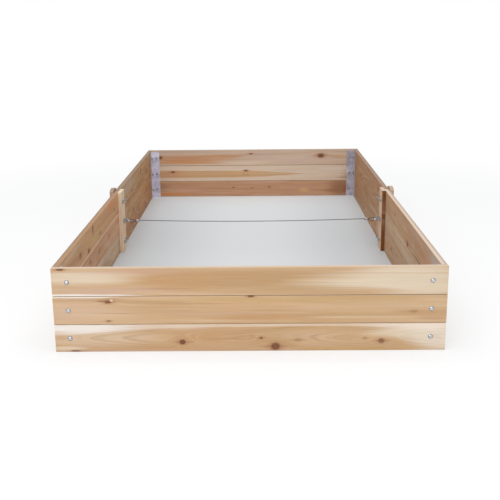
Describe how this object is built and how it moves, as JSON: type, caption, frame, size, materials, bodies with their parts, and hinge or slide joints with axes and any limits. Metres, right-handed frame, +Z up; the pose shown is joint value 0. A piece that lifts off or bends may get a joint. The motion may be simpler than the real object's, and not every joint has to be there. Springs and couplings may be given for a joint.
{
  "type": "raised garden bed",
  "caption": "Rectangular cedar raised bed, open top and bottom, with bolted corner angles, mid-length stakes and a wire-rope tie across.",
  "frame": {"origin": "on the ground, at the centre of the bed's plan", "axes": "+X across the bed towards its right side, +Y along the bed from the front wall to the back wall, +Z up"},
  "size_m": [1.2742, 2.4834, 0.285],
  "materials": {
    "cedar_end_boards": "raw, planed",
    "cedar_side_boards": "raw, planed",
    "cedar_stakes": "raw, planed",
    "zinc_plated_steel": "zinc plated, satin",
    "zinc_fasteners": "zinc plated, bright",
    "aluminium_ferrule": "pressed",
    "wire_rope": "galvanised, laid wire"
  },
  "bodies": {
    "root": {"end_board_front_bottom": "cedar_end_boards", "side_board_left_front_bottom": "cedar_side_boards", "side_board_right_front_bottom": "cedar_side_boards", "end_board_back_bottom": "cedar_end_boards", "side_board_left_back_bottom": "cedar_side_boards", "side_board_right_back_bottom": "cedar_side_boards", "end_board_front_middle": "cedar_end_boards", "side_board_left_front_middle": "cedar_side_boards", "side_board_right_front_middle": "cedar_side_boards", "end_board_back_middle": "cedar_end_boards", "side_board_left_back_middle": "cedar_side_boards", "side_board_right_back_middle": "cedar_side_boards", "end_board_front_top": "cedar_end_boards", "side_board_left_front_top": "cedar_side_boards", "side_board_right_front_top": "cedar_side_boards", "end_board_back_top": "cedar_end_boards", "side_board_left_back_top": "cedar_side_boards", "side_board_right_back_top": "cedar_side_boards", "corner_bracket_front_left": "zinc_plated_steel", "corner_bolts_front_left": "zinc_fasteners", "corner_nuts_front_left": "zinc_fasteners", "corner_bracket_back_left": "zinc_plated_steel", "corner_bolts_back_left": "zinc_fasteners", "corner_nuts_back_left": "zinc_fasteners", "corner_bracket_front_right": "zinc_plated_steel", "corner_bolts_front_right": "zinc_fasteners", "corner_nuts_front_right": "zinc_fasteners", "corner_bracket_back_right": "zinc_plated_steel", "corner_bolts_back_right": "zinc_fasteners", "corner_nuts_back_right": "zinc_fasteners", "inner_stake_left": "cedar_stakes", "outer_stake_left": "cedar_stakes", "stake_bolts_left": "zinc_fasteners", "stake_washers_left": "zinc_fasteners", "stake_nuts_left": "zinc_fasteners", "inner_stake_right": "cedar_stakes", "outer_stake_right": "cedar_stakes", "stake_bolts_right": "zinc_fasteners", "stake_washers_right": "zinc_fasteners", "stake_nuts_right": "zinc_fasteners", "eye_bolt_left": "zinc_fasteners", "eye_washers_left": "zinc_fasteners", "eye_nuts_left": "zinc_fasteners", "tie_ferrule_left": "aluminium_ferrule", "eye_bolt_right": "zinc_fasteners", "eye_washers_right": "zinc_fasteners", "eye_nuts_right": "zinc_fasteners", "tie_ferrule_right": "aluminium_ferrule", "tie_rope": "wire_rope"}
  },
  "joints": []
}
